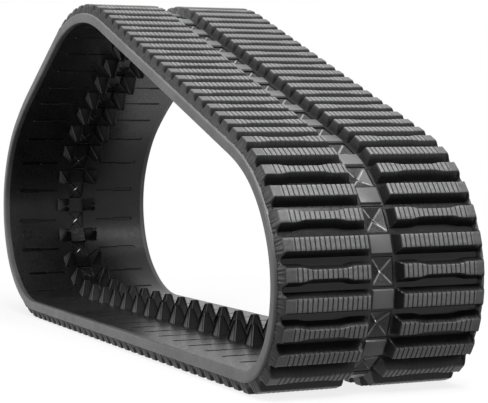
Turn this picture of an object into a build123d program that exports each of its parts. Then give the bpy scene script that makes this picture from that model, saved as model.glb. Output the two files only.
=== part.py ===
from build123d import *
import os
from math import cos, degrees, radians, sin

# Rubber track for a compact track loader: one endless loop, lying on its ground run.
# The origin is on the ground under the middle of the loop, +X is the front, +Y the right side.
# Heights are measured from the cord line, outward positive. Places along the loop are
# arc lengths on the cord line. All sizes are millimetres and degrees.

# ---- Overall sizes ----
PITCH = 101.6
PITCH_COUNT = 48
TRACK_WIDTH = 457.2

# Bends of the cord line as (radius, turn), in walking order: over the crest, down and
# round the front, back along the ground and up round the rear.
CREST_BENDS = [(550.0, 45.0)]
FRONT_BENDS = [(480.0, 9.0), (290.0, 40.0), (220.0, 58.0), (155.0, 53.0)]
REAR_BENDS = [(380.0, 39.0), (245.0, 80.0), (395.0, 27.0)]
REAR_EASE_RADIUS = 1150.0      # last rear bend, which takes up what is left of the full turn
FIRST_LUG = 19.0               # place of the first drive lug past the start of the crest

# ---- Belt layers ----
OUTER_COVER_THICKNESS = 7.5
BIAS_PLY_THICKNESS = 1.5
CORD_BED_THICKNESS = 6.0
TRANSVERSE_PLY_THICKNESS = 1.0
CORE_THICKNESS = 4.5
INNER_COVER_THICKNESS = 3.0
EDGE_BAND_WIDTH = 14.0
EDGE_ROUNDING = 4.0

# ---- Reinforcement ----
CORD_DIAMETER = 4.0
CORDS_PER_SIDE = 9
CORD_COVER = 12.0              # recess side or edge band to the nearest cord's centre
ROD_DIAMETER = 3.0
ROD_COVER = 10.0               # rod's end to the edge band

# ---- Tread bars ----
BAR_HEIGHT = 24.0
BAR_VALLEY = 8.8               # gap between the feet of neighbouring bars
BAR_CREST_WIDTH = 26.0
BAR_CREST_INNER = 37.0         # centre plane to the bar's inner end, at its crest
BAR_FOOT_MARGIN = 7.0          # belt edge to the bar's outer end, at its foot
BAR_CREST_MARGIN = 15.0
WAIST_NARROWING = 4.5          # how far each long side of a waisted bar draws in
WAIST_START = 0.2              # where the waist begins and ends, as shares of the bar
WAIST_END = 0.8
WAIST_SLOPE = 0.14             # share of the bar over which a side draws in

# ---- Centre channel ----
PAD_LENGTH = 40.0
PAD_HEIGHT = 4.0
PAD_DRAFT = 1.5
PAD_TO_RECESS = 2.8
PAD_TO_BAR = 4.0
RECESS_WIDTH = 46.0
RECESS_TO_BAR = 5.0
RECESS_RIM_DEPTH = 3.0         # outer face down to the recess rim
RECESS_RIM_WIDTH = 2.0
WEB_THICKNESS = 4.0
WEB_OUTER_DEPTH = 10.0         # rim down to the middle of the outer pyramid
PYRAMID_TIP = 2.0
SLIT_LENGTH = 20.0
SLIT_WIDTH = 5.0
SLIT_ANGLE = 45.0

# ---- Inside of the loop ----
LUG_HEIGHT = 42.0
LUG_FOOT_LENGTH = 38.0
LUG_FOOT_WIDTH = 36.0
LUG_FOOT_OFFSET = 41.0         # centre plane to the middle of a lug's foot
LUG_TIP_LENGTH = 11.0
LUG_TIP_WIDTH = 12.0
LUG_TIP_OFFSET = 43.0
LUG_TO_PATH = 3.0              # lug's foot to the inner side of a wheel path
GROOVE_DEPTH = 2.5
GROOVE_TO_LUGS = 4.0           # inner side of a wheel path to the groove's inner end
GROOVE_WIDE_LENGTH = 60.0      # wide outer stretch of a groove
GROOVE_MARGIN = 44.0           # belt edge to the groove's outer end
GROOVE_NARROW = 6.0
GROOVE_WIDE = 11.0

SINK = 3.0                     # how deep a raised piece starts in the belt before it is trimmed

# ---- Heights and half widths that follow from the sizes above ----
HALF_WIDTH = TRACK_WIDTH / 2
LAYER_HALF_WIDTH = HALF_WIDTH - EDGE_BAND_WIDTH
CORD_BED_TOP = CORD_BED_THICKNESS / 2
OUTER_PLY_TOP = CORD_BED_TOP + BIAS_PLY_THICKNESS
OUTER_FACE = OUTER_PLY_TOP + OUTER_COVER_THICKNESS
BAR_TOP = OUTER_FACE + BAR_HEIGHT
CORD_BED_BOTTOM = -CORD_BED_THICKNESS / 2
INNER_PLY_BOTTOM = CORD_BED_BOTTOM - BIAS_PLY_THICKNESS
TRANSVERSE_BOTTOM = INNER_PLY_BOTTOM - TRANSVERSE_PLY_THICKNESS
CORE_BOTTOM = TRANSVERSE_BOTTOM - CORE_THICKNESS
INNER_FACE = CORE_BOTTOM - INNER_COVER_THICKNESS
ROD_HEIGHT = (TRANSVERSE_BOTTOM + CORE_BOTTOM) / 2

BAR_FOOT_WIDTH = PITCH / 2 - BAR_VALLEY
BAR_FOOT_INNER = RECESS_WIDTH / 2 + RECESS_TO_BAR
PAD_WIDTH = 2 * (BAR_FOOT_INNER - PAD_TO_BAR)
RECESS_LENGTH = PITCH - PAD_LENGTH - 2 * PAD_TO_RECESS
RECESS_RIM = OUTER_FACE - RECESS_RIM_DEPTH
WEB_OUTER_TIP = RECESS_RIM - WEB_OUTER_DEPTH
WEB_INNER_TIP = WEB_OUTER_TIP - WEB_THICKNESS
WHEEL_PATH_INNER = LUG_FOOT_OFFSET + LUG_FOOT_WIDTH / 2 + LUG_TO_PATH
GROOVE_INNER_END = WHEEL_PATH_INNER + GROOVE_TO_LUGS
GROOVE_OUTER_END = HALF_WIDTH - GROOVE_MARGIN
GROOVE_STEP = GROOVE_OUTER_END - GROOVE_WIDE_LENGTH

FIRST_CORD = RECESS_WIDTH / 2 + CORD_COVER
CORD_SPACING = (LAYER_HALF_WIDTH - CORD_COVER - FIRST_CORD) / (CORDS_PER_SIDE - 1)
CORD_PLACES = [FIRST_CORD + CORD_SPACING * k for k in range(CORDS_PER_SIDE)]


# ---- The loop ----
def total_turn(bends):
    """Sum of the turns of a list of bends."""
    return sum(turn for radius, turn in bends)


def arc_length(bends):
    """Length of a chain of bends on the cord line."""
    return sum(radius * radians(turn) for radius, turn in bends)


def shift_of(bends, heading):
    """How far a chain of bends moves in x and z, walked from a heading."""
    dx = 0.0
    dz = 0.0
    for radius, turn in bends:
        after = heading + turn
        dx += radius * (sin(radians(after)) - sin(radians(heading)))
        dz += radius * (cos(radians(after)) - cos(radians(heading)))
        heading = after
    return dx, dz


# Headings are measured clockwise from +X, seen with +X to the right and +Z up.
GROUND_HEADING = 180.0
RISE_HEADING = GROUND_HEADING - total_turn(CREST_BENDS + FRONT_BENDS)
FALL_HEADING = RISE_HEADING + total_turn(CREST_BENDS)
REAR_EASE_TURN = 360.0 - total_turn(CREST_BENDS + FRONT_BENDS + REAR_BENDS)
ALL_REAR_BENDS = REAR_BENDS + [(REAR_EASE_RADIUS, REAR_EASE_TURN)]


def straight_lengths():
    """Lengths of the fall, ground and rise that close the loop at its full length."""
    shifts = [
        shift_of(CREST_BENDS, RISE_HEADING),
        shift_of(FRONT_BENDS, FALL_HEADING),
        shift_of(ALL_REAR_BENDS, GROUND_HEADING),
    ]
    dx = sum(shift[0] for shift in shifts)
    dz = sum(shift[1] for shift in shifts)
    spare = PITCH * PITCH_COUNT - arc_length(CREST_BENDS + FRONT_BENDS + ALL_REAR_BENDS)
    fall_x = 1 + cos(radians(FALL_HEADING))
    fall_z = sin(radians(FALL_HEADING))
    rise_x = 1 + cos(radians(RISE_HEADING))
    rise_z = sin(radians(RISE_HEADING))
    determinant = fall_x * rise_z - rise_x * fall_z
    fall = ((spare - dx) * rise_z - dz * rise_x) / determinant
    rise = (fall_x * dz - (spare - dx) * fall_z) / determinant
    return fall, spare - fall - rise, rise


FALL_LENGTH, GROUND_LENGTH, RISE_LENGTH = straight_lengths()
GROUND_START = arc_length(CREST_BENDS) + FALL_LENGTH + arc_length(FRONT_BENDS)


def walk_loop():
    """Runs of the cord line as (start, length, radius, x, z, heading); radius 0 is straight."""
    legs = [(radius, turn, 0.0) for radius, turn in CREST_BENDS]
    legs += [(0.0, 0.0, FALL_LENGTH)]
    legs += [(radius, turn, 0.0) for radius, turn in FRONT_BENDS]
    legs += [(0.0, 0.0, GROUND_LENGTH)]
    legs += [(radius, turn, 0.0) for radius, turn in ALL_REAR_BENDS]
    legs += [(0.0, 0.0, RISE_LENGTH)]
    runs = []
    start = 0.0
    x = 0.0
    z = 0.0
    heading = RISE_HEADING
    for radius, turn, straight in legs:
        length = straight + radius * radians(turn)
        runs.append((start, length, radius, x, z, heading))
        dx, dz = shift_of([(radius, turn)], heading)
        x += dx + straight * cos(radians(heading))
        z += dz - straight * sin(radians(heading))
        heading += turn
        start += length
    return runs


LOOP = walk_loop()


def locate(place):
    """Point (x, z) and heading of the cord line at a place, before the loop is centred."""
    place = place % (PITCH * PITCH_COUNT)
    start, length, radius, x, z, heading = [run for run in LOOP if run[0] <= place][-1]
    along = place - start
    if radius == 0.0:
        return x + along * cos(radians(heading)), z - along * sin(radians(heading)), heading
    turn = degrees(along / radius)
    dx, dz = shift_of([(radius, turn)], heading)
    return x + dx, z + dz, heading + turn


LUG_PLACES = [FIRST_LUG + PITCH * k for k in range(PITCH_COUNT)]
RECESS_PLACES = [place + PITCH / 2 for place in LUG_PLACES]


def crest_corners(place):
    """The x of both crest corners of the bar at a place, before the loop is centred."""
    x, z, heading = locate(place)
    middle = x + BAR_TOP * sin(radians(heading))
    reach = BAR_CREST_WIDTH / 2 * cos(radians(heading))
    return middle - reach, middle + reach


CREST_XS = [x for place in LUG_PLACES + RECESS_PLACES for x in crest_corners(place)]
SHIFT_X = -(min(CREST_XS) + max(CREST_XS)) / 2
SHIFT_Z = BAR_TOP - locate(GROUND_START)[1]


def loop_point(place, height):
    """Point (x, z) of the finished loop at a place and height."""
    x, z, heading = locate(place)
    return (
        x + SHIFT_X + height * sin(radians(heading)),
        z + SHIFT_Z + height * cos(radians(heading)),
    )


def loop_plane(place):
    """Plane on the cord line: its x runs along the loop, y across the track, z outward."""
    x, z, heading = locate(place)
    along = (cos(radians(heading)), 0, -sin(radians(heading)))
    outward = (sin(radians(heading)), 0, cos(radians(heading)))
    return Plane(origin=(x + SHIFT_X, 0, z + SHIFT_Z), x_dir=along, z_dir=outward)


LUG_PLANES = [loop_plane(place) for place in LUG_PLACES]
RECESS_PLANES = [loop_plane(place) for place in RECESS_PLACES]


# ---- Shapes that repeat ----
def loop_outline(height):
    """Closed outline of the loop at a height, drawn inside the current line builder."""
    corners = [loop_point(run[0], height) for run in LOOP]
    corners.append(corners[0])
    for run, first, last in zip(LOOP, corners, corners[1:]):
        start, length, radius = run[:3]
        if radius == 0.0:
            Line(first, last)
        else:
            ThreePointArc(first, loop_point(start + length / 2, height), last)


def belt_band(low, high, y_low, y_high, mode=Mode.ADD):
    """Closed band of the belt between two heights and two places across the track."""
    with BuildSketch(Plane.XZ.offset(-y_high)) as section:
        with BuildLine():
            loop_outline(high)
        make_face()
        with BuildLine():
            loop_outline(low)
        make_face(mode=Mode.SUBTRACT)
    extrude(section.sketch, amount=y_high - y_low, mode=mode)


def full_layer(low, high):
    """Belt layer between the edge bands, with the relief windows cut through it."""
    belt_band(low, high, -LAYER_HALF_WIDTH, LAYER_HALF_WIDTH)
    cut_windows()


def cut_windows():
    """Cuts the relief windows through the current part."""
    with Locations(*RECESS_PLANES):
        Box(RECESS_LENGTH, RECESS_WIDTH, 2 * BAR_TOP, mode=Mode.SUBTRACT)


def raise_on_belt(piece, planes):
    """Adds a raised piece at every plane and cuts away what lies inside the belt."""
    with Locations(*planes):
        add(piece)
    belt_band(INNER_FACE, OUTER_FACE, -HALF_WIDTH, HALF_WIDTH, Mode.SUBTRACT)


def frustum(low, low_size, high, high_size, low_y=0.0, high_y=0.0):
    """Four-sided tapered block between two heights."""
    with BuildSketch(Plane.XY.offset(low)) as bottom:
        with Locations((0, low_y)):
            Rectangle(*low_size)
    with BuildSketch(Plane.XY.offset(high)) as top:
        with Locations((0, high_y)):
            Rectangle(*high_size)
    return loft([bottom.sketch, top.sketch], ruled=True, mode=Mode.PRIVATE)


def bar_outline(height, width, inner, outer, narrowing, side):
    """Outline of a tread bar at one height, with its long sides drawn in by narrowing."""
    half = width / 2
    length = outer - inner
    stops = [(inner, half), (outer, half)]
    if narrowing > 0.0:
        stops[1:1] = [
            (inner + length * WAIST_START, half),
            (inner + length * (WAIST_START + WAIST_SLOPE), half - narrowing),
            (inner + length * (WAIST_END - WAIST_SLOPE), half - narrowing),
            (inner + length * WAIST_END, half),
        ]
    rear = [(-reach, side * across) for across, reach in stops]
    front = [(reach, side * across) for across, reach in reversed(stops)]
    with BuildSketch(Plane.XY.offset(height)) as outline:
        with BuildLine():
            Polyline(*rear, *front, close=True)
        make_face()
    return outline.sketch


def tread_bar(narrowing, side):
    """One tread bar at the cord line; side is -1 on the left and 1 on the right."""
    foot_outer = HALF_WIDTH - BAR_FOOT_MARGIN
    crest_outer = HALF_WIDTH - BAR_CREST_MARGIN
    sections = [
        bar_outline(OUTER_FACE - SINK, BAR_FOOT_WIDTH, BAR_FOOT_INNER, foot_outer, narrowing, side),
        bar_outline(BAR_TOP, BAR_CREST_WIDTH, BAR_CREST_INNER, crest_outer, narrowing, side),
    ]
    return loft(sections, ruled=True, mode=Mode.PRIVATE)


def drive_lug(side):
    """One drive lug at the cord line, tapering towards the inside of the loop."""
    return frustum(
        INNER_FACE - LUG_HEIGHT,
        (LUG_TIP_LENGTH, LUG_TIP_WIDTH),
        INNER_FACE + SINK,
        (LUG_FOOT_LENGTH, LUG_FOOT_WIDTH),
        side * LUG_TIP_OFFSET,
        side * LUG_FOOT_OFFSET,
    )


def groove_cutter(side):
    """Stepped groove at the cord line, narrow by the lugs and wide with a round outer end."""
    narrow_length = GROOVE_STEP - GROOVE_INNER_END
    round_centre = GROOVE_OUTER_END - GROOVE_WIDE / 2
    with BuildPart() as groove:
        with BuildSketch(Plane.XY.offset(INNER_FACE)) as outline:
            with Locations((0, side * (GROOVE_INNER_END + narrow_length / 2))):
                Rectangle(GROOVE_NARROW, narrow_length)
            with Locations((0, side * (GROOVE_STEP + round_centre) / 2)):
                Rectangle(GROOVE_WIDE, round_centre - GROOVE_STEP)
            with Locations((0, side * round_centre)):
                Circle(GROOVE_WIDE / 2)
        extrude(outline.sketch, amount=GROOVE_DEPTH, both=True)
    return groove.part


def wheel_path(side):
    """Inner cover under one row of wheels, with a groove at every recess."""
    y_low, y_high = sorted((side * WHEEL_PATH_INNER, side * LAYER_HALF_WIDTH))
    groove = groove_cutter(side)
    belt_band(INNER_FACE, CORE_BOTTOM, y_low, y_high)
    with Locations(*RECESS_PLANES):
        add(groove, mode=Mode.SUBTRACT)


def cord_ring(across):
    """One endless tension cord at a place across the track."""
    x, z = loop_point(0.0, 0.0)
    along = (cos(radians(RISE_HEADING)), 0, -sin(radians(RISE_HEADING)))
    with BuildPart() as cord:
        with BuildLine(Plane.XZ.offset(-across)) as path:
            loop_outline(0.0)
        with BuildSketch(Plane(origin=(x, across, z), x_dir=(0, 1, 0), z_dir=along)):
            Circle(CORD_DIAMETER / 2)
        sweep(path=path.wires()[0])
    return cord.part


# ---- Outer cover and plies ----
with BuildPart() as outer_cover:
    full_layer(OUTER_PLY_TOP, OUTER_FACE)

with BuildPart() as outer_bias_ply:
    full_layer(CORD_BED_TOP, OUTER_PLY_TOP)

with BuildPart() as inner_bias_ply:
    full_layer(INNER_PLY_BOTTOM, CORD_BED_BOTTOM)

with BuildPart() as transverse_ply:
    full_layer(TRANSVERSE_BOTTOM, INNER_PLY_BOTTOM)

# ---- Tension cords in their bed ----
CORDS_LEFT = [cord_ring(-across) for across in CORD_PLACES]
CORDS_RIGHT = [cord_ring(across) for across in CORD_PLACES]

with BuildPart() as tension_cords_left:
    add(CORDS_LEFT)

with BuildPart() as tension_cords_right:
    add(CORDS_RIGHT)

with BuildPart() as cord_bed:
    full_layer(CORD_BED_BOTTOM, CORD_BED_TOP)
    add(CORDS_LEFT + CORDS_RIGHT, mode=Mode.SUBTRACT)

# ---- Core with its stiffener rods ----
with BuildPart() as stiffener_rods:
    with Locations(*[plane.offset(ROD_HEIGHT) for plane in LUG_PLANES]):
        Cylinder(ROD_DIAMETER / 2, 2 * (LAYER_HALF_WIDTH - ROD_COVER), rotation=(90, 0, 0))

with BuildPart() as carcass_core:
    full_layer(CORE_BOTTOM, TRANSVERSE_BOTTOM)
    add(stiffener_rods.part, mode=Mode.SUBTRACT)

# ---- Inner covers ----
with BuildPart() as centre_strip:
    belt_band(INNER_FACE, CORE_BOTTOM, -WHEEL_PATH_INNER, WHEEL_PATH_INNER)
    cut_windows()

with BuildPart() as wheel_path_left:
    wheel_path(-1)

with BuildPart() as wheel_path_right:
    wheel_path(1)

# ---- Edge bands ----
with BuildPart() as edge_band_left:
    belt_band(INNER_FACE, OUTER_FACE, -HALF_WIDTH, -LAYER_HALF_WIDTH)
    fillet(edge_band_left.faces().sort_by(Axis.Y)[0].edges(), EDGE_ROUNDING)

with BuildPart() as edge_band_right:
    belt_band(INNER_FACE, OUTER_FACE, LAYER_HALF_WIDTH, HALF_WIDTH)
    fillet(edge_band_right.faces().sort_by(Axis.Y)[-1].edges(), EDGE_ROUNDING)

# ---- Tread bars: straight ones at the lugs, waisted ones at the recesses ----
STRAIGHT_LEFT = tread_bar(0.0, -1)
STRAIGHT_RIGHT = tread_bar(0.0, 1)
WAISTED_LEFT = tread_bar(WAIST_NARROWING, -1)
WAISTED_RIGHT = tread_bar(WAIST_NARROWING, 1)

with BuildPart() as straight_bars_left:
    raise_on_belt(STRAIGHT_LEFT, LUG_PLANES)

with BuildPart() as straight_bars_right:
    raise_on_belt(STRAIGHT_RIGHT, LUG_PLANES)

with BuildPart() as waisted_bars_left:
    raise_on_belt(WAISTED_LEFT, RECESS_PLANES)

with BuildPart() as waisted_bars_right:
    raise_on_belt(WAISTED_RIGHT, RECESS_PLANES)

# ---- Centre channel ----
PAD = frustum(
    OUTER_FACE - SINK,
    (PAD_LENGTH, PAD_WIDTH),
    OUTER_FACE + PAD_HEIGHT,
    (PAD_LENGTH - 2 * PAD_DRAFT, PAD_WIDTH - 2 * PAD_DRAFT),
)

with BuildPart() as centre_pads:
    raise_on_belt(PAD, LUG_PLANES)

PYRAMID_MOUTH = (RECESS_LENGTH - 2 * RECESS_RIM_WIDTH, RECESS_WIDTH - 2 * RECESS_RIM_WIDTH)
PYRAMID_POINT = (PYRAMID_TIP, PYRAMID_TIP)
OUTER_PYRAMID = frustum(WEB_OUTER_TIP, PYRAMID_POINT, RECESS_RIM, PYRAMID_MOUTH)
INNER_PYRAMID = frustum(INNER_FACE, PYRAMID_MOUTH, WEB_INNER_TIP, PYRAMID_POINT)

with BuildPart() as web_block:
    with Locations((0, 0, (RECESS_RIM + INNER_FACE) / 2)):
        Box(RECESS_LENGTH, RECESS_WIDTH, RECESS_RIM - INNER_FACE)
    add(OUTER_PYRAMID, mode=Mode.SUBTRACT)
    add(INNER_PYRAMID, mode=Mode.SUBTRACT)
    Box(SLIT_LENGTH, SLIT_WIDTH, 2 * BAR_TOP, rotation=(0, 0, SLIT_ANGLE), mode=Mode.SUBTRACT)

with BuildPart() as relief_webs:
    with Locations(*RECESS_PLANES):
        add(web_block.part)

# ---- Drive lugs ----
LUG_LEFT = drive_lug(-1)
LUG_RIGHT = drive_lug(1)

with BuildPart() as drive_lugs_left:
    raise_on_belt(LUG_LEFT, LUG_PLANES)

with BuildPart() as drive_lugs_right:
    raise_on_belt(LUG_RIGHT, LUG_PLANES)

# ---- Labels and files ----
SUB_PARTS = {
    "outer_cover": outer_cover,
    "outer_bias_ply": outer_bias_ply,
    "cord_bed": cord_bed,
    "tension_cords_left": tension_cords_left,
    "tension_cords_right": tension_cords_right,
    "inner_bias_ply": inner_bias_ply,
    "transverse_ply": transverse_ply,
    "stiffener_rods": stiffener_rods,
    "carcass_core": carcass_core,
    "centre_strip": centre_strip,
    "wheel_path_left": wheel_path_left,
    "wheel_path_right": wheel_path_right,
    "edge_band_left": edge_band_left,
    "edge_band_right": edge_band_right,
    "straight_bars_left": straight_bars_left,
    "straight_bars_right": straight_bars_right,
    "waisted_bars_left": waisted_bars_left,
    "waisted_bars_right": waisted_bars_right,
    "centre_pads": centre_pads,
    "relief_webs": relief_webs,
    "drive_lugs_left": drive_lugs_left,
    "drive_lugs_right": drive_lugs_right,
}

os.makedirs("parts", exist_ok=True)
for node, sub_part in SUB_PARTS.items():
    sub_part.part.label = node
    export_step(sub_part.part, f"parts/{node}.step")
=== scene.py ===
from math import cos, degrees, radians, sin

import bmesh
import bpy
import numpy as np
from mathutils import Matrix, Vector


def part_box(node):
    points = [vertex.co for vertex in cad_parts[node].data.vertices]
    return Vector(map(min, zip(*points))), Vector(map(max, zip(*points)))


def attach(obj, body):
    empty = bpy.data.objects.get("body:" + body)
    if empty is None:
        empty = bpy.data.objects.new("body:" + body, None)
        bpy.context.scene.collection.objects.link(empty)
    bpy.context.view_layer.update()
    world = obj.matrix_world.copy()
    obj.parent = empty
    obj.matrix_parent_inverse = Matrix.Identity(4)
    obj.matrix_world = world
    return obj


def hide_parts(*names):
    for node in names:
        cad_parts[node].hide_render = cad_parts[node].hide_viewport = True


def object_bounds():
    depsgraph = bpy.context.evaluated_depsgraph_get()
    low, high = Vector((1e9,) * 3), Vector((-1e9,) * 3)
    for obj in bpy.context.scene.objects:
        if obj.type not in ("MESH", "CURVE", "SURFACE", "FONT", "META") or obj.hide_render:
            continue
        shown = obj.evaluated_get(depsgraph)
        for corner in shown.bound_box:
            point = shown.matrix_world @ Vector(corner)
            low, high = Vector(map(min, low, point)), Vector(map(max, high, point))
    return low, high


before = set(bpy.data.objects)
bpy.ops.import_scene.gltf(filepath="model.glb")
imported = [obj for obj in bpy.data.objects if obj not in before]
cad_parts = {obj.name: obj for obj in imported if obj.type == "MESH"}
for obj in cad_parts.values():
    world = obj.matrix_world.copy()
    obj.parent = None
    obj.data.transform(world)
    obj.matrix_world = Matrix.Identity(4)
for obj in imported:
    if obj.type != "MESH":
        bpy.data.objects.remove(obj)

# Rubber track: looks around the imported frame. Metres. The loop is rebuilt from its bends, so that
# every visible piece follows it. Heights are measured from the cord line, outward positive.

cad_low, cad_high = [[float(v) for v in corner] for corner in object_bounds()]

# ---- Sizes of the track, in metres ----
PITCH = 0.1016
PITCH_COUNT = 48
CREST_BENDS = [(0.550, 45.0)]
FRONT_BENDS = [(0.480, 9.0), (0.290, 40.0), (0.220, 58.0), (0.155, 53.0)]
REAR_BENDS = [(0.380, 39.0), (0.245, 80.0), (0.395, 27.0), (1.150, 9.0)]
FIRST_LUG = 0.019
OUTER_FACE = 0.012
OUTER_PLY_TOP = 0.0045
INNER_FACE = -0.013
CORE_BOTTOM = -0.010
BAR_HEIGHT = 0.024
BAR_TOP = OUTER_FACE + BAR_HEIGHT
BAR_CREST_HALF = 0.013
HALF_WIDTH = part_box("edge_band_right")[1][1]
LAYER_HALF_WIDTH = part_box("outer_cover")[1][1]
WHEEL_PATH_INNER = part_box("centre_strip")[1][1]
RECESS_HALF_LENGTH = 0.028
RECESS_HALF_WIDTH = 0.023
SIDES = (-1, 1)               # left, right
NUDGE = 1e-12
MERGE_DISTANCE = 1e-6


# ---- The loop ----
def shift_of(bends, heading):
    dx = dz = 0.0
    for radius, turn in bends:
        after = heading + turn
        dx += radius * (sin(radians(after)) - sin(radians(heading)))
        dz += radius * (cos(radians(after)) - cos(radians(heading)))
        heading = after
    return dx, dz


def arc_length(bends):
    return sum(radius * radians(turn) for radius, turn in bends)


RISE_HEADING = 180.0 - sum(turn for radius, turn in CREST_BENDS + FRONT_BENDS)
FALL_HEADING = RISE_HEADING + sum(turn for radius, turn in CREST_BENDS)
LOOP_LENGTH = PITCH * PITCH_COUNT


def straight_lengths():
    """Fall, ground and rise lengths that close the loop at its full length."""
    parts = [(CREST_BENDS, RISE_HEADING), (FRONT_BENDS, FALL_HEADING), (REAR_BENDS, 180.0)]
    shifts = [shift_of(bends, heading) for bends, heading in parts]
    dx = sum(shift[0] for shift in shifts)
    dz = sum(shift[1] for shift in shifts)
    spare = LOOP_LENGTH - arc_length(CREST_BENDS + FRONT_BENDS + REAR_BENDS)
    fall_x, fall_z = 1 + cos(radians(FALL_HEADING)), sin(radians(FALL_HEADING))
    rise_x, rise_z = 1 + cos(radians(RISE_HEADING)), sin(radians(RISE_HEADING))
    determinant = fall_x * rise_z - rise_x * fall_z
    fall = ((spare - dx) * rise_z - dz * rise_x) / determinant
    rise = (fall_x * dz - (spare - dx) * fall_z) / determinant
    return fall, spare - fall - rise, rise


def walk_loop():
    fall, ground, rise = straight_lengths()
    legs = [(radius, turn, 0.0) for radius, turn in CREST_BENDS] + [(0.0, 0.0, fall)]
    legs += [(radius, turn, 0.0) for radius, turn in FRONT_BENDS] + [(0.0, 0.0, ground)]
    legs += [(radius, turn, 0.0) for radius, turn in REAR_BENDS] + [(0.0, 0.0, rise)]
    runs = []
    start = x = z = 0.0
    heading = RISE_HEADING
    for radius, turn, straight in legs:
        runs.append((start, radius, x, z, heading))
        dx, dz = shift_of([(radius, turn)], heading)
        x += dx + straight * cos(radians(heading))
        z += dz - straight * sin(radians(heading))
        heading += turn
        start += straight + radius * radians(turn)
    return runs


LOOP = walk_loop()


def locate(place):
    """Cord-line x, z and heading in radians at a place, before the loop is moved onto the frame."""
    place = place % LOOP_LENGTH
    start, radius, x, z, heading = [run for run in LOOP if run[0] <= place + NUDGE][-1]
    along = place - start
    if radius == 0.0:
        return x + along * cos(radians(heading)), z - along * sin(radians(heading)), radians(heading)
    turn = degrees(along / radius)
    dx, dz = shift_of([(radius, turn)], heading)
    return x + dx, z + dz, radians(heading + turn)


LUG_PLACES = [FIRST_LUG + PITCH * k for k in range(PITCH_COUNT)]
RECESS_PLACES = [place + PITCH / 2 for place in LUG_PLACES]


def crest_xs():
    """Both crest corners of every bar, to centre the loop on the frame's box."""
    xs = []
    for place in LUG_PLACES + RECESS_PLACES:
        x, z, heading = locate(place)
        for side in SIDES:
            xs.append(x + BAR_TOP * sin(heading) + side * BAR_CREST_HALF * cos(heading))
    return xs


CREST_XS = crest_xs()
SHIFT_X = (cad_low[0] + cad_high[0]) / 2 - (min(CREST_XS) + max(CREST_XS)) / 2
GROUND_PLACE = arc_length(CREST_BENDS) + straight_lengths()[0] + arc_length(FRONT_BENDS)
SHIFT_Z = cad_low[2] + BAR_TOP - locate(GROUND_PLACE)[1]


def on_loop(places, across, heights):
    """World points of arrays of places, across values and heights."""
    found = np.array([locate(place) for place in places])
    x, z, heading = found[:, 0], found[:, 1], found[:, 2]
    return np.stack([
        x + SHIFT_X + heights * np.sin(heading),
        across,
        z + SHIFT_Z + heights * np.cos(heading),
    ], axis=1)


def station_matrix(place):
    """Frame at a place: x along the loop, y across, z outward."""
    x, z, heading = locate(place)
    along = Vector((cos(heading), 0, -sin(heading)))
    outward = Vector((sin(heading), 0, cos(heading)))
    turn = Matrix((along, Vector((0, 1, 0)), outward)).transposed().to_4x4()
    return Matrix.Translation((x + SHIFT_X, 0, z + SHIFT_Z)) @ turn


# ---- Mesh helpers ----
def mesh_object(name, points, faces, smooth_angle=35.0, shares=None):
    mesh = bpy.data.meshes.new(name)
    mesh.from_pydata([tuple(point) for point in points], [], faces)
    if shares is not None:
        layer = mesh.attributes.new("share", "FLOAT", "POINT")
        layer.data.foreach_set("value", np.asarray(shares, dtype=np.float32))
    work = bmesh.new()
    work.from_mesh(mesh)
    bmesh.ops.remove_doubles(work, verts=work.verts, dist=MERGE_DISTANCE)
    bmesh.ops.recalc_face_normals(work, faces=work.faces)
    if work.calc_volume(signed=True) < 0:
        bmesh.ops.reverse_faces(work, faces=work.faces)
    work.to_mesh(mesh)
    work.free()
    mesh.shade_smooth()
    mesh.set_sharp_from_angle(angle=radians(smooth_angle))
    made = bpy.data.objects.new(name, mesh)
    bpy.context.scene.collection.objects.link(made)
    return made


def repeat_at(name, points, faces, places, smooth_angle=35.0, shares=None):
    """One object that holds a copy of a small mesh at every place on the loop."""
    all_points = []
    all_faces = []
    base = np.column_stack([points, np.ones(len(points))])
    for place in places:
        matrix = np.array(station_matrix(place))
        first = len(all_points)
        all_points.extend((base @ matrix.T)[:, :3])
        all_faces.extend([[first + index for index in face] for face in faces])
    all_shares = None if shares is None else np.tile(shares, len(places))
    return mesh_object(name, all_points, all_faces, smooth_angle, all_shares)


def place_piece(piece, nodes, material):
    piece.data.materials.clear()
    piece.data.materials.append(material)
    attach(piece, "root")
    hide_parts(*nodes)


def smooth_min(values, softness):
    """Smallest of several arrays, rounded where they meet."""
    values = np.stack(values)
    lowest = values.min(axis=0)
    return lowest - softness * np.log(np.exp(-(values - lowest) / softness).sum(axis=0))


def ease(value, low, high):
    share = np.clip((value - low) / (high - low), 0.0, 1.0)
    return share * share * (3 - 2 * share)


def height_field(rows, columns, height, bottom):
    """Closed block under a height field: rows (n, m) and columns (n, m) place its points."""
    n, m = rows.shape
    points = np.stack([rows.ravel(), columns.ravel(), height.ravel()], axis=1)
    faces = [
        [i * m + j, (i + 1) * m + j, (i + 1) * m + j + 1, i * m + j + 1]
        for i in range(n - 1)
        for j in range(m - 1)
    ]
    rim = list(range(m))
    rim += [i * m + m - 1 for i in range(1, n)]
    rim += [(n - 1) * m + j for j in range(m - 2, -1, -1)]
    rim += [i * m for i in range(n - 2, 0, -1)]
    first = len(points)
    low = points[rim].copy()
    low[:, 2] = bottom
    count = len(rim)
    faces += [[rim[k], rim[(k + 1) % count], first + (k + 1) % count, first + k] for k in range(count)]
    faces.append([first + k for k in range(count)])
    return np.concatenate([points, low]), faces


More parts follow.
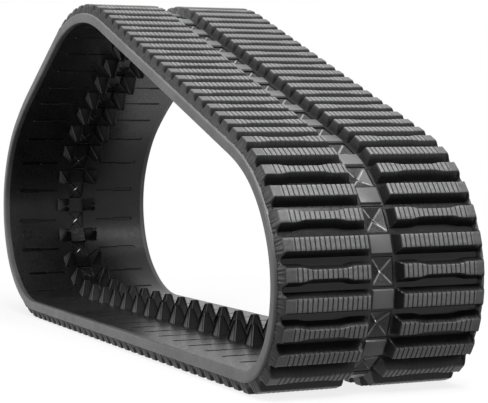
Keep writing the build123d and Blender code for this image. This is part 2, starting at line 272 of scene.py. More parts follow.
# ---- Materials ----
def rubber(name, colour, rough, mottle=0.25, grain=0.0, shared=None):
    """Moulded rubber: mottled colour, uneven gloss, fine grain and slow ripples in the surface."""
    material = bpy.data.materials.new(name)
    material.use_nodes = True
    tree = material.node_tree
    nodes, links = tree.nodes, tree.links
    shader = nodes["Principled BSDF"]
    place = nodes.new("ShaderNodeTexCoord")

    def noise(size, detail, roughness=0.55):
        made = nodes.new("ShaderNodeTexNoise")
        made.inputs["Scale"].default_value = size
        made.inputs["Detail"].default_value = detail
        made.inputs["Roughness"].default_value = roughness
        links.new(place.outputs["Object"], made.inputs["Vector"])
        return made

    def ramp(source, low, high, from_low=0.3, from_high=0.7):
        made = nodes.new("ShaderNodeMapRange")
        made.inputs["From Min"].default_value = from_low
        made.inputs["From Max"].default_value = from_high
        made.inputs["To Min"].default_value = low
        made.inputs["To Max"].default_value = high
        links.new(source, made.inputs["Value"])
        return made.outputs["Result"]

    broad = noise(9.0, 5.0)
    fine = noise(160.0, 3.0)
    speck = noise(900.0, 2.0)
    mix = nodes.new("ShaderNodeMix")
    mix.data_type = "RGBA"
    mix.inputs["A"].default_value = (*[c * (1 - mottle) for c in colour], 1)
    mix.inputs["B"].default_value = (*[c * (1 + mottle) for c in colour], 1)
    links.new(ramp(broad.outputs["Fac"], 0.0, 1.0), mix.inputs["Factor"])
    painted = mix.outputs["Result"]
    # Second colour laid where the mesh's share attribute is high; the parts below use it for painted
    # highlights, painted shade and, on the bar crests, wear as well.
    if shared:
        share = nodes.new("ShaderNodeAttribute")
        share.attribute_name = "share"
        top = nodes.new("ShaderNodeMix")
        top.data_type = "RGBA"
        top.inputs["B"].default_value = (*shared, 1)
        links.new(share.outputs["Fac"], top.inputs["Factor"])
        links.new(painted, top.inputs["A"])
        blotch = nodes.new("ShaderNodeMix")
        blotch.data_type = "RGBA"
        blotch.blend_type = "MULTIPLY"
        blotch.inputs["Factor"].default_value = 1.0
        links.new(top.outputs["Result"], blotch.inputs["A"])
        tone = nodes.new("ShaderNodeCombineColor")
        level = ramp(fine.outputs["Fac"], 0.78, 1.15)
        for channel in ("Red", "Green", "Blue"):
            links.new(level, tone.inputs[channel])
        links.new(tone.outputs["Color"], blotch.inputs["B"])
        painted = blotch.outputs["Result"]
    links.new(painted, shader.inputs["Base Color"])
    links.new(ramp(fine.outputs["Fac"], rough - 0.07, rough + 0.09), shader.inputs["Roughness"])
    shader.inputs["Specular IOR Level"].default_value = 0.26
    slow_bump = nodes.new("ShaderNodeBump")
    slow_bump.inputs["Strength"].default_value = 0.25
    slow_bump.inputs["Distance"].default_value = 0.0012
    links.new(noise(38.0, 4.0).outputs["Fac"], slow_bump.inputs["Height"])
    fine_bump = nodes.new("ShaderNodeBump")
    fine_bump.inputs["Strength"].default_value = 0.2 + grain
    fine_bump.inputs["Distance"].default_value = 0.0003
    links.new(speck.outputs["Fac"], fine_bump.inputs["Height"])
    links.new(slow_bump.outputs["Normal"], fine_bump.inputs["Normal"])
    links.new(fine_bump.outputs["Normal"], shader.inputs["Normal"])
    return material


def banded(name, dark, light, bands, rough, direction="Y"):
    """Cord, ply or rod: fine woven or twisted bands across one axis."""
    material = bpy.data.materials.new(name)
    material.use_nodes = True
    nodes, links = material.node_tree.nodes, material.node_tree.links
    shader = nodes["Principled BSDF"]
    place = nodes.new("ShaderNodeTexCoord")
    wave = nodes.new("ShaderNodeTexWave")
    wave.bands_direction = direction
    wave.inputs["Scale"].default_value = bands
    wave.inputs["Distortion"].default_value = 0.6
    links.new(place.outputs["Object"], wave.inputs["Vector"])
    mix = nodes.new("ShaderNodeMix")
    mix.data_type = "RGBA"
    mix.inputs["A"].default_value = (*dark, 1)
    mix.inputs["B"].default_value = (*light, 1)
    links.new(wave.outputs["Fac"], mix.inputs["Factor"])
    links.new(mix.outputs["Result"], shader.inputs["Base Color"])
    bump = nodes.new("ShaderNodeBump")
    bump.inputs["Strength"].default_value = 0.5
    bump.inputs["Distance"].default_value = 0.0006
    links.new(wave.outputs["Fac"], bump.inputs["Height"])
    links.new(bump.outputs["Normal"], shader.inputs["Normal"])
    shader.inputs["Roughness"].default_value = rough
    return material


# Bar crests: a lighter colour that is partly wear and partly a painted highlight on the tops facing the
# light.
CREST_WEAR_AND_HIGHLIGHT = (0.120, 0.120, 0.121)
# Shoulder: painted highlight on the crease ridges and along the valley ends; the crease hollows stay dark as
# painted shade.
SHOULDER_HIGHLIGHT = (0.034, 0.034, 0.035)
# Web ridges: a painted highlight along the diagonal ridges of each relief web.
RIDGE_HIGHLIGHT = (0.30, 0.30, 0.30)
# Wheel-path grooves: near-black painted shade in the sunk grooves.
GROOVE_SHADE = (0.001, 0.001, 0.001)
# Drive lugs: a painted highlight on the outer facet, lighter as if lit from the open side.
OUTER_FACET_HIGHLIGHT = (0.075, 0.075, 0.076)
TREAD = rubber("tread_rubber", (0.009, 0.009, 0.0093), 0.36, grain=0.15, shared=CREST_WEAR_AND_HIGHLIGHT)
COVER = rubber("outer_rubber", (0.010, 0.010, 0.0104), 0.20, mottle=0.2)
SHOULDER = rubber("shoulder_rubber", (0.006, 0.006, 0.0062), 0.42, grain=0.1, shared=SHOULDER_HIGHLIGHT)
# Pads: a mid-grey colour that is a painted sheen on their smooth faces.
PAD = rubber("pad_rubber", (0.085, 0.085, 0.086), 0.34, mottle=0.15)
WEB = rubber("web_rubber", (0.020, 0.020, 0.0205), 0.26, mottle=0.3, shared=RIDGE_HIGHLIGHT)
# Edge bands: a lighter grey that is a painted highlight where light falls on the side faces.
EDGE = rubber("edge_rubber", (0.075, 0.075, 0.076), 0.38, mottle=0.3, grain=0.1)
INNER = rubber("inner_rubber", (0.013, 0.013, 0.0135), 0.30, mottle=0.4, grain=0.1, shared=GROOVE_SHADE)
STRIP = rubber("strip_rubber", (0.013, 0.013, 0.0135), 0.30, mottle=0.4, grain=0.1)
LUG = rubber("lug_rubber", (0.012, 0.012, 0.0124), 0.40, mottle=0.35, grain=0.3, shared=OUTER_FACET_HIGHLIGHT)
BED = rubber("bed_rubber", (0.012, 0.012, 0.012), 0.7, mottle=0.2)
PLY = banded("ply_fabric", (0.16, 0.13, 0.09), (0.34, 0.29, 0.21), 90.0, 0.8)
CORD = banded("tension_cord", (0.30, 0.27, 0.21), (0.55, 0.51, 0.42), 60.0, 0.7, "X")
ROD = banded("rod_plastic", (0.45, 0.40, 0.29), (0.62, 0.57, 0.43), 25.0, 0.5)

HIDDEN = {
    "outer_bias_ply": PLY,
    "inner_bias_ply": PLY,
    "transverse_ply": PLY,
    "cord_bed": BED,
    "carcass_core": BED,
    "tension_cords_left": CORD,
    "tension_cords_right": CORD,
    "stiffener_rods": ROD,
}
for node, material in HIDDEN.items():
    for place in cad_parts[node].material_slots:
        place.material = material

# ---- Tread bars ----
BAR_FOOT_HALF = 0.021
BAR_FOOT_INNER = 0.028
BAR_CREST_INNER = 0.037
BAR_FOOT_OUTER = HALF_WIDTH - 0.007
BAR_CREST_OUTER = HALF_WIDTH - 0.015
BAR_SKIRT = 0.002
RIB_FIRST = 0.044
RIB_PITCH = 0.0105
RIB_COUNT = 15
RIB_HALF = 0.0011
RIB_DEPTH = 0.0018
WAIST_NARROWING = 0.0045
WAIST_SHARES = (0.2, 0.34, 0.66, 0.8)
EDGE_SOFTNESS = 0.0009
CREST_PAINT_FROM = 0.0036             # below the crest, where the crest colour (wear and painted highlight) starts
CREST_PAINT_FULL = 0.0012
RIB_SHADE = 0.95
END_SHADE = 0.45


def bar_mesh(side, waisted):
    """Tread bar as a height field: drafted walls, rounded rims and fine grooves over its crest."""
    grooves = [RIB_FIRST + RIB_PITCH * k for k in range(RIB_COUNT)]
    across = [BAR_FOOT_INNER + d for d in (-0.0015, 0.0, 0.002, 0.005, 0.0075, 0.009, 0.011)]
    for middle in grooves:
        across += [middle - 1.5 * RIB_HALF, middle - RIB_HALF / 2, middle + RIB_HALF / 2,
                   middle + 1.5 * RIB_HALF]
    across += list(np.linspace(grooves[-1] + 0.006, BAR_CREST_OUTER - 0.003, 5))
    across += [BAR_CREST_OUTER + d for d in (-0.001, 0.0, 0.0015, 0.004, 0.0065, 0.008, 0.0095)]
    across = np.array(sorted(across))
    share = (across - BAR_FOOT_INNER) / (BAR_FOOT_OUTER - BAR_FOOT_INNER)
    narrow = np.zeros_like(across)
    if waisted:
        first, deep, deep_end, last = WAIST_SHARES
        narrow = WAIST_NARROWING * ease(share, first, deep) * (1 - ease(share, deep_end, last))
    foot = BAR_FOOT_HALF - narrow
    crest = BAR_CREST_HALF - narrow
    part = crest / foot
    lines = [np.zeros_like(part), 0.55 * part, 0.9 * part, part]
    lines += [part + (1 - part) * step for step in (0.12, 0.5, 0.88, 1.0, 1.12)]
    lines = [-line for line in reversed(lines[1:])] + lines
    rows = np.stack([line * foot for line in lines], axis=1)
    columns = np.repeat(across[:, None], len(lines), axis=1)
    groove = np.zeros_like(across)
    for middle in grooves:
        groove = np.maximum(groove, 1 - ease(np.abs(across - middle), RIB_HALF / 2, 1.5 * RIB_HALF))
    rib = (BAR_HEIGHT - RIB_DEPTH * groove)[:, None] * np.ones_like(rows)
    wall = (foot[:, None] - np.abs(rows)) / (foot - crest)[:, None] * BAR_HEIGHT
    inner = (columns - BAR_FOOT_INNER) / (BAR_CREST_INNER - BAR_FOOT_INNER) * BAR_HEIGHT
    outer = (BAR_FOOT_OUTER - columns) / (BAR_FOOT_OUTER - BAR_CREST_OUTER) * BAR_HEIGHT
    height = np.maximum(smooth_min([rib, wall, inner, outer], EDGE_SOFTNESS), -BAR_SKIRT)
    points, faces = height_field(rows, side * columns, OUTER_FACE + height, OUTER_FACE - 2 * BAR_SKIRT)
    # The crest colour is partly wear and partly a painted highlight; the grooves between ribs keep the dark
    # base as painted shade, and the smooth outer end takes less of it.
    wear_and_highlight = ease(height, BAR_HEIGHT - CREST_PAINT_FROM, BAR_HEIGHT - CREST_PAINT_FULL) * (1 - RIB_SHADE * groove)[:, None]
    smooth_end = ease(columns, grooves[-1] + 0.003, grooves[-1] + 0.006)
    wear_and_highlight = wear_and_highlight * (1 - END_SHADE * smooth_end)
    shares = np.zeros(len(points))
    shares[:wear_and_highlight.size] = wear_and_highlight.ravel()
    return points, faces, shares


for name, side, waisted, places in (
    ("straight_bars_left", -1, False, LUG_PLACES),
    ("straight_bars_right", 1, False, LUG_PLACES),
    ("waisted_bars_left", -1, True, RECESS_PLACES),
    ("waisted_bars_right", 1, True, RECESS_PLACES),
):
    points, faces, shares = bar_mesh(side, waisted)
    bars = repeat_at("ribbed_" + name, points, faces, places, 28.0, shares)
    place_piece(bars, [name], TREAD)


# ---- Pads and relief webs ----
def tapered_block(foot, top, low, high, centre=(0.0, 0.0), lean=(0.0, 0.0), bevel=0.002, segments=3):
    """Four-sided tapered block with rounded edges, as points and faces."""
    work = bmesh.new()
    made = bmesh.ops.create_cube(work, size=1.0)["verts"]
    for vert in made:
        upper = vert.co.z > 0
        size = top if upper else foot
        shift = lean if upper else (0.0, 0.0)
        vert.co.x = vert.co.x * size[0] + centre[0] + shift[0]
        vert.co.y = vert.co.y * size[1] + centre[1] + shift[1]
        vert.co.z = high if upper else low
    edges = [edge for edge in work.edges if max(v.co.z for v in edge.verts) > low + 1e-9 or low > high]
    bmesh.ops.bevel(work, geom=edges, offset=bevel, segments=segments, profile=0.5, affect="EDGES")
    points = np.array([vert.co[:] for vert in work.verts])
    work.verts.index_update()
    faces = [[vert.index for vert in face.verts] for face in work.faces]
    work.free()
    return points, faces


PAD_LENGTH, PAD_WIDTH, PAD_HEIGHT, PAD_DRAFT = 0.040, 0.048, 0.004, 0.0015
points, faces = tapered_block(
    (PAD_LENGTH, PAD_WIDTH), (PAD_LENGTH - 2 * PAD_DRAFT, PAD_WIDTH - 2 * PAD_DRAFT),
    OUTER_FACE - 0.003, OUTER_FACE + PAD_HEIGHT, bevel=0.0012)
place_piece(repeat_at("channel_pads", points, faces, LUG_PLACES), ["centre_pads"], PAD)

WEB_RIM = OUTER_FACE - 0.003
WEB_TIP = WEB_RIM - 0.010
WEB_THICKNESS = 0.004
RIDGE_HALF = 0.0012
RIDGE_RISE = 0.0016
SLIT_HALF_LENGTH = 0.010
SLIT_HALF_WIDTH = 0.0025
WEB_CELLS = 30


def web_mesh():
    """Relief web: four sunk facets, a thin ridge along each diagonal and a leaning slit through it."""
    xs = np.linspace(-RECESS_HALF_LENGTH, RECESS_HALF_LENGTH, WEB_CELLS + 1)
    ys = np.linspace(-RECESS_HALF_WIDTH, RECESS_HALF_WIDTH, WEB_CELLS + 1)
    x, y = np.meshgrid(xs, ys, indexing="ij")
    share_x = np.abs(x) / RECESS_HALF_LENGTH
    share_y = np.abs(y) / RECESS_HALF_WIDTH
    sunk = 1 - np.clip(np.maximum(share_x, share_y) / 0.93, 0, 1)
    off_ridge = np.abs(share_x - share_y) * RECESS_HALF_WIDTH
    ridge = RIDGE_RISE * (1 - ease(off_ridge, 0.0, 2 * RIDGE_HALF)) * ease(sunk, 0.0, 0.2)
    top = WEB_RIM - (WEB_RIM - WEB_TIP) * sunk + ridge
    low = np.maximum(INNER_FACE + 0.0002, top - WEB_THICKNESS - 0.010 * (1 - sunk))
    lean_x = (x + y) / 2 ** 0.5
    lean_y = (y - x) / 2 ** 0.5
    slit = (np.abs(lean_x) < SLIT_HALF_LENGTH) & (np.abs(lean_y) < SLIT_HALF_WIDTH)
    n = WEB_CELLS + 1
    points = np.concatenate([
        np.stack([x.ravel(), y.ravel(), top.ravel()], axis=1),
        np.stack([x.ravel(), y.ravel(), low.ravel()], axis=1),
    ])
    under = n * n
    solid = np.zeros((n - 1, n - 1), bool)
    for i in range(n - 1):
        for j in range(n - 1):
            solid[i, j] = not slit[i:i + 2, j:j + 2].all()
    faces = []
    for i in range(n - 1):
        for j in range(n - 1):
            if not solid[i, j]:
                continue
            a, b, c, d = i * n + j, (i + 1) * n + j, (i + 1) * n + j + 1, i * n + j + 1
            faces.append([a, b, c, d])
            faces.append([under + d, under + c, under + b, under + a])
            for p, q, di, dj in ((a, b, 0, -1), (b, c, 1, 0), (c, d, 0, 1), (d, a, -1, 0)):
                k, l = i + di, j + dj
                if k < 0 or l < 0 or k >= n - 1 or l >= n - 1 or not solid[k, l]:
                    faces.append([q, p, under + p, under + q])
    # The share along the ridges lays a painted highlight on them.
    ridge_highlight = (ridge / RIDGE_RISE).ravel()
    return points, faces, np.concatenate([ridge_highlight, np.zeros(n * n)])


points, faces, shares = web_mesh()
place_piece(repeat_at("relief_web_facets", points, faces, RECESS_PLACES, 20.0, shares), ["relief_webs"],
            WEB)

# ---- Drive lugs ----
LUG_HEIGHT = 0.042
LUG_FOOT = (0.038, 0.036)
LUG_TIP = (0.011, 0.012)
LUG_SINK = 0.003
LUG_OFFSET = 0.041
LUG_LEAN = 0.002
LUG_BEVEL = 0.0034
for name, side in (("drive_lugs_left", -1), ("drive_lugs_right", 1)):
    points, faces = tapered_block(
        LUG_FOOT, LUG_TIP, INNER_FACE + LUG_SINK, INNER_FACE - LUG_HEIGHT,
        centre=(0.0, side * LUG_OFFSET), lean=(0.0, side * LUG_LEAN), bevel=LUG_BEVEL, segments=4)
    # Painted highlight: the outer facet of each lug, on its part near the belt, takes the lighter colour.
    outward = side * (points[:, 1] - side * LUG_OFFSET)
    low = ease(points[:, 2], INNER_FACE - LUG_HEIGHT * 0.72, INNER_FACE - LUG_HEIGHT * 0.4)
    shares = low * ease(outward, 0.004, 0.009)
    place_piece(repeat_at("moulded_" + name, points, faces, LUG_PLACES, 35.0, shares), [name],
                LUG)

# ---- Belt skins ----
RECESS_OFFSETS = (-RECESS_HALF_LENGTH, -0.014, 0.0, 0.014, RECESS_HALF_LENGTH)


def pitch_places(offsets):
    """Places round the loop: the same offsets about every recess."""
    return [place + offset for place in RECESS_PLACES for offset in offsets]


def band(name, section, offsets, windows=False, shape=None):
    """Closed band swept round the loop. section is a closed list of (across, height)."""
    places = pitch_places(offsets)
    count, size, per = len(places), len(section), len(offsets)
    across = np.array([point[0] for point in section])
    heights = np.array([point[1] for point in section])
    points = []
    shares = []
    for index, place in enumerate(places):
        offset = offsets[index % per]
        raised = heights if shape is None else shape(offset, across, heights)
        points.append(on_loop([place] * size, across, raised))
        # Where a shape sinks grooves, the share follows their depth and lays near-black painted shade in
        # them.
        if shape is not None:
            shares.append((raised - heights) / GROOVE_DEPTH)
    points = np.concatenate(points)
    open_cell = np.zeros((count, size), bool)
    if windows:
        for i in range(count):
            middle = (offsets[i % per] + (offsets[(i + 1) % per] + (PITCH if i % per == per - 1 else 0))) / 2
            for j in range(size):
                y = (across[j] + across[(j + 1) % size]) / 2
                flat = abs(across[j] - across[(j + 1) % size]) > 1e-9
                open_cell[i, j] = flat and abs(middle) < RECESS_HALF_LENGTH and abs(y) < RECESS_HALF_WIDTH
    faces = []
    for i in range(count):
        k = (i + 1) % count
        for j in range(size):
            if not open_cell[i, j]:
                l = (j + 1) % size
                faces.append([i * size + j, k * size + j, k * size + l, i * size + l])
    if windows:
        top = [j for j in range(size) if open_cell[:, j].any() and heights[j] == max(heights)][0]
        low = [j for j in range(size) if open_cell[:, j].any() and heights[j] == min(heights)][0]
        pairs = [(top, (low + 1) % size), ((top + 1) % size, low)]
        for i in range(count):
            if open_cell[i, top]:
                k = (i + 1) % count
                for a, b in pairs:
                    faces.append([i * size + a, k * size + a, k * size + b, i * size + b])
                before = (i - 1) % count
                for edge, neighbour in ((i, before), (k, k)):
                    if not open_cell[neighbour, top]:
                        faces.append([edge * size + pairs[0][0], edge * size + pairs[1][0],
                                      edge * size + pairs[1][1], edge * size + pairs[0][1]])
    return mesh_object(name, points, faces, 30.0, np.concatenate(shares) if shares else None)


COVER_OFFSETS = (-0.0396,) + RECESS_OFFSETS + (0.0396, 0.0508)
window = RECESS_HALF_WIDTH
cover_section = [
    (-LAYER_HALF_WIDTH, OUTER_FACE), (-window, OUTER_FACE), (window, OUTER_FACE),
    (LAYER_HALF_WIDTH, OUTER_FACE), (LAYER_HALF_WIDTH, OUTER_PLY_TOP), (window, OUTER_PLY_TOP),
    (-window, OUTER_PLY_TOP), (-LAYER_HALF_WIDTH, OUTER_PLY_TOP)]
place_piece(band("outer_cover_skin", cover_section, COVER_OFFSETS, windows=True), ["outer_cover"],
            COVER)
strip_section = [
    (-WHEEL_PATH_INNER, CORE_BOTTOM), (-window, CORE_BOTTOM), (window, CORE_BOTTOM),
    (WHEEL_PATH_INNER, CORE_BOTTOM), (WHEEL_PATH_INNER, INNER_FACE), (window, INNER_FACE),
    (-window, INNER_FACE), (-WHEEL_PATH_INNER, INNER_FACE)]
place_piece(band("centre_strip_skin", strip_section, COVER_OFFSETS, windows=True), ["centre_strip"],
            STRIP)

EDGE_RADIUS = 0.004
EDGE_STEPS = 5


def edge_section(side):
    """Cross-section of an edge band: square towards the belt, rounded at the outside."""
    outline = [(side * LAYER_HALF_WIDTH, INNER_FACE), (side * LAYER_HALF_WIDTH, OUTER_FACE)]
    for corner, start in ((OUTER_FACE - EDGE_RADIUS, 90.0), (INNER_FACE + EDGE_RADIUS, 0.0)):
        for step in range(EDGE_STEPS + 1):
            angle = radians(start - 90.0 * step / EDGE_STEPS)
            outline.append((side * (HALF_WIDTH - EDGE_RADIUS + EDGE_RADIUS * cos(angle)),
                            corner + EDGE_RADIUS * sin(angle)))
    return outline


EDGE_OFFSETS = tuple(-PITCH / 2 + PITCH * k / 10 for k in range(10))
for side, name in ((-1, "edge_band_left"), (1, "edge_band_right")):
    place_piece(band("trimmed_" + name, edge_section(side), EDGE_OFFSETS), [name], EDGE)

# ---- Shoulders: closed valley ends and creased rubber from the bar ends to the belt edge ----
HALF_STEP = PITCH / 2
SHOULDER_CELLS = 40
CREASE_DEPTH = 0.0016
VALLEY_LIP = 0.0095
SKIRT_LOW = -0.004
BAR_END = (0.0125, 0.0205)     # along the loop from a bar's middle: its end falls away between these
CREASE_LENGTHS = (0.00105, 0.00068, 0.0019)
CREASE_WEIGHTS = (1.0, 0.7, 0.6)
CREASE_TURNS = (0.0, 2.0, -3.0)


def shoulder(side):
    """Skirt round one side: climbs to each bar's end, dips between bars, with fanned creases."""
    steps = np.linspace(0.0, 1.0, 9)
    rng = np.random.default_rng(17 if side < 0 else 18)
    points = []
    shares = []
    total = 2 * PITCH_COUNT * SHOULDER_CELLS
    fans = rng.uniform(0.0, 6.28, (2 * PITCH_COUNT + 1, 3))
    for index in range(total):
        turn, cell = divmod(index, SHOULDER_CELLS)
        offset = (cell / SHOULDER_CELLS - 0.5) * HALF_STEP
        place = FIRST_LUG + turn * HALF_STEP + offset
        reach = abs(offset)
        at_bar = 1 - ease(reach, *BAR_END)
        lip = 1 - ease(reach, BAR_END[1], BAR_END[1] + 0.003) * 0.25
        top_height = OUTER_FACE + VALLEY_LIP * lip + (BAR_HEIGHT - 0.0002 - VALLEY_LIP) * at_bar
        top_inset = 0.0105 + 0.0048 * at_bar
        rise = 1 - (1 - steps) ** 1.35
        inset = 0.0002 + top_inset * steps ** 1.15
        height = SKIRT_LOW + (top_height - SKIRT_LOW) * rise
        spread = offset / (1 + 0.55 * steps)
        phases = fans[turn]
        wave = sum(
            weight * np.sin(spread / length + phase + turned * steps)
            for length, weight, turned, phase in zip(CREASE_LENGTHS, CREASE_WEIGHTS, CREASE_TURNS, phases)
        )
        edge = np.sin(np.pi * np.clip(steps, 0.03, 0.97)) ** 0.6 * (1 - 0.5 * at_bar * steps)
        crease = np.clip(0.5 + wave / 3.0, 0.0, 1.0) * edge
        inset = inset + CREASE_DEPTH * (1 - crease) * edge
        height = height - CREASE_DEPTH * (1 - crease) * edge
        inner = np.array([top_inset + 0.003, top_inset + 0.0075])
        drop = np.array([top_height - 0.0012, OUTER_FACE - 0.001 + 0.010 * at_bar])
        inset = np.concatenate([inset, inner, [0.0135, 0.003]])
        height = np.concatenate([height, drop, [OUTER_FACE - 0.003, SKIRT_LOW - 0.002]])
        points.append(on_loop([place] * len(inset), side * (HALF_WIDTH - inset), height))
        # Painted highlight: on crease ridges, in a band near the top of each valley end and at its lip;
        # crease hollows stay dark as painted shade.
        rim = np.exp(-((steps - 0.97) / 0.10) ** 2) * (1 - at_bar) * 0.9
        outside = np.clip(crease * 0.55 + rim, 0, 1)
        shares.append(np.concatenate([outside, [0.7 * (1 - at_bar), 0.1, 0.0, 0.0]]))
    size = len(shares[0])
    faces = [
        [i * size + j, ((i + 1) % total) * size + j, ((i + 1) % total) * size + (j + 1) % size,
         i * size + (j + 1) % size]
        for i in range(total)
        for j in range(size)
    ]
    name = "creased_shoulder_" + ("left" if side < 0 else "right")
    return mesh_object(name, np.concatenate(points), faces, 50.0, np.concatenate(shares))


for side, node in ((-1, "edge_band_left"), (1, "edge_band_right")):
    place_piece(shoulder(side), [node], SHOULDER)

# ---- Wheel paths with their stepped grooves ----
GROOVE_DEPTH = 0.0025
GROOVE_NARROW_HALF = 0.003
GROOVE_WIDE_HALF = 0.0055
GROOVE_INNER = WHEEL_PATH_INNER + 0.004
GROOVE_OUTER = HALF_WIDTH - 0.044
GROOVE_STEP = GROOVE_OUTER - 0.060
GROOVE_WALL = 0.0006


def groove_shape(offset, across, heights):
    """Sinks the inner face where a groove crosses it."""
    reach = np.abs(across)
    half = np.where(reach < GROOVE_STEP, GROOVE_NARROW_HALF, GROOVE_WIDE_HALF)
    end = np.clip(reach - (GROOVE_OUTER - GROOVE_WIDE_HALF), 0, None)
    half = np.where(end > 0, np.sqrt(np.clip(GROOVE_WIDE_HALF ** 2 - end ** 2, 0, None)), half)
    half = np.where((reach < GROOVE_INNER) | (reach > GROOVE_OUTER), 0.0, half)
    sunk = np.where(half > 0, 1 - ease(abs(offset) - half, -GROOVE_WALL, GROOVE_WALL), 0.0)
    sunk = np.where(heights < CORE_BOTTOM - 1e-6, sunk, 0.0)
    return heights + GROOVE_DEPTH * sunk


GROOVE_OFFSETS = (-0.0508, -0.036, -0.022, -0.0105, -0.0062, -0.0049, -0.0036, -0.0024, 0.0,
                  0.0024, 0.0036, 0.0049, 0.0062, 0.0105, 0.022, 0.036)
for side, name in ((-1, "wheel_path_left"), (1, "wheel_path_right")):
    reaches = [WHEEL_PATH_INNER, GROOVE_INNER - 0.0005, GROOVE_INNER + 0.0005, GROOVE_STEP - 0.0006,
               GROOVE_STEP + 0.0006, GROOVE_OUTER - 0.0056]
    reaches += [GROOVE_OUTER - drop for drop in (0.004, 0.0025, 0.0012, 0.0004, -0.0004)]
    reaches += [LAYER_HALF_WIDTH]
    section = [(side * reach, INNER_FACE) for reach in reaches]
    section += [(side * reach, CORE_BOTTOM) for reach in (LAYER_HALF_WIDTH, WHEEL_PATH_INNER)]
    place_piece(band("grooved_" + name, section, GROOVE_OFFSETS, shape=groove_shape), [name],
                INNER)

# ---- Camera: the viewing angle of a long lens near the front bend ----
CAMERA_PLACE = (3.720, -1.394, 0.481)
CAMERA_AZIMUTH = 67.57
CAMERA_ELEVATION = 1.84
CAMERA_ROLL = -0.58
LENS_MM = 114.2
SHIFT = (0.0066, 0.0020)

away = Vector((sin(radians(CAMERA_AZIMUTH)) * cos(radians(CAMERA_ELEVATION)),
               -cos(radians(CAMERA_AZIMUTH)) * cos(radians(CAMERA_ELEVATION)),
               sin(radians(CAMERA_ELEVATION))))
level_right = (-away).cross(Vector((0, 0, 1))).normalized()
level_up = level_right.cross(-away)
turn_cos, turn_sin = cos(radians(CAMERA_ROLL)), sin(radians(CAMERA_ROLL))
right = turn_cos * level_right + turn_sin * level_up
up = turn_cos * level_up - turn_sin * level_right
camera_data = bpy.data.cameras.new("camera")
camera_data.sensor_width = 36.0
camera_data.lens = LENS_MM
camera_data.shift_x, camera_data.shift_y = SHIFT
camera_data.clip_end = 100.0
camera = bpy.data.objects.new("camera", camera_data)
bpy.context.scene.collection.objects.link(camera)
camera.matrix_world = Matrix.Translation(CAMERA_PLACE) @ Matrix((right, up, away)).transposed().to_4x4()
bpy.context.scene.camera = camera

# ---- Floor, world and lamps ----
def seen_ray(tree):
    """1 for camera, glossy and transmission rays, which all see the white background."""
    path = tree.nodes.new("ShaderNodeLightPath")
    total = path.outputs["Is Camera Ray"]
    for kind in ("Is Glossy Ray", "Is Transmission Ray"):
        either = tree.nodes.new("ShaderNodeMath")
        either.operation = "MAXIMUM"
        tree.links.new(total, either.inputs[0])
        tree.links.new(path.outputs[kind], either.inputs[1])
        total = either.outputs["Value"]
    return total


PALE_FLOOR = (0.8, 0.8, 0.8, 1)
DIM_FLOOR = (0.2, 0.2, 0.2, 1)
FLOOR_FADE = (0.9, 2.2, 0.82, 1.0)   # distances from the middle, and the share of white at each
FLOOR_HALF = 30.0
FLOOR_DROP = 0.0005
floor_work = bmesh.new()
bmesh.ops.create_grid(floor_work, x_segments=1, y_segments=1, size=FLOOR_HALF)
floor_mesh = bpy.data.meshes.new("floor")
floor_work.to_mesh(floor_mesh)
floor_work.free()
floor = bpy.data.objects.new("floor", floor_mesh)
floor.location.z = cad_low[2] - FLOOR_DROP
bpy.context.scene.collection.objects.link(floor)
paint = bpy.data.materials.new("floor_paint")
paint.use_nodes = True
tree = paint.node_tree
surface = tree.nodes["Principled BSDF"]
surface.inputs["Base Color"].default_value = PALE_FLOOR
surface.inputs["Roughness"].default_value = 0.9
surface.inputs["Specular IOR Level"].default_value = 0.0
dim = tree.nodes.new("ShaderNodeBsdfDiffuse")
dim.inputs["Color"].default_value = DIM_FLOOR
white = tree.nodes.new("ShaderNodeEmission")
white.inputs["Strength"].default_value = 1.0
seen = seen_ray(tree)
spot = tree.nodes.new("ShaderNodeTexCoord")
far = tree.nodes.new("ShaderNodeVectorMath")
far.operation = "LENGTH"
fade = tree.nodes.new("ShaderNodeMapRange")
for key, value in zip(("From Min", "From Max", "To Min", "To Max"), FLOOR_FADE):
    fade.inputs[key].default_value = value
seen_share = tree.nodes.new("ShaderNodeMath")
seen_share.operation = "MULTIPLY"
blend = tree.nodes.new("ShaderNodeMixShader")
choice = tree.nodes.new("ShaderNodeMixShader")
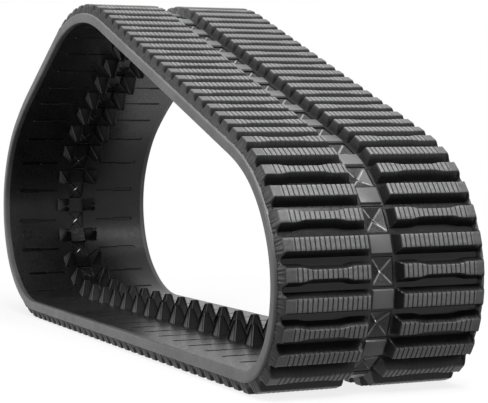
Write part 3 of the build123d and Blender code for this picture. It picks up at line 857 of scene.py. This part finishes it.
for source, target in (
    (spot.outputs["Object"], far.inputs[0]),
    (far.outputs["Value"], fade.inputs["Value"]),
    (fade.outputs["Result"], seen_share.inputs[0]),
    (seen, seen_share.inputs[1]),
    (seen_share.outputs["Value"], blend.inputs["Fac"]),
    (seen, choice.inputs["Fac"]),
    (dim.outputs["BSDF"], choice.inputs[1]),
    (surface.outputs["BSDF"], choice.inputs[2]),
    (choice.outputs["Shader"], blend.inputs[1]),
    (white.outputs["Emission"], blend.inputs[2]),
    (blend.outputs["Shader"], tree.nodes["Material Output"].inputs["Surface"]),
):
    tree.links.new(source, target)
floor_mesh.materials.append(paint)

world = bpy.data.worlds.new("studio")
world.use_nodes = True
sky = world.node_tree
plain = sky.nodes["Background"]
plain.inputs["Color"].default_value = (1, 1, 1, 1)
plain.inputs["Strength"].default_value = 0.24
seen = sky.nodes.new("ShaderNodeBackground")
seen.inputs["Color"].default_value = (1, 1, 1, 1)
seen.inputs["Strength"].default_value = 1.0
choose = sky.nodes.new("ShaderNodeMixShader")
sky.links.new(seen_ray(sky), choose.inputs["Fac"])
sky.links.new(plain.outputs["Background"], choose.inputs[1])
sky.links.new(seen.outputs["Background"], choose.inputs[2])
sky.links.new(choose.outputs["Shader"], sky.nodes["World Output"].inputs["Surface"])
bpy.context.scene.world = world


def softbox(name, place, target, size, watts):
    lamp = bpy.data.lights.new(name, "AREA")
    lamp.shape = "RECTANGLE"
    lamp.size, lamp.size_y = size
    lamp.energy = watts
    made = bpy.data.objects.new(name, lamp)
    bpy.context.scene.collection.objects.link(made)
    made.location = place
    made.rotation_euler = (Vector(target) - Vector(place)).to_track_quat("-Z", "Y").to_euler()


# name, place, target, size, watts
softbox("overhead", (0.9, -0.3, 3.0), (0.3, 0.0, 0.5), (2.4, 2.0), 110.0)
softbox("front_high", (2.9, 0.2, 3.4), (0.8, 0.0, 0.6), (2.4, 1.0), 150.0)
softbox("open_side", (-0.2, -3.4, 1.4), (0.0, 0.0, 0.2), (2.4, 1.0), 62.0)

bpy.context.scene.view_settings.view_transform = "Standard"
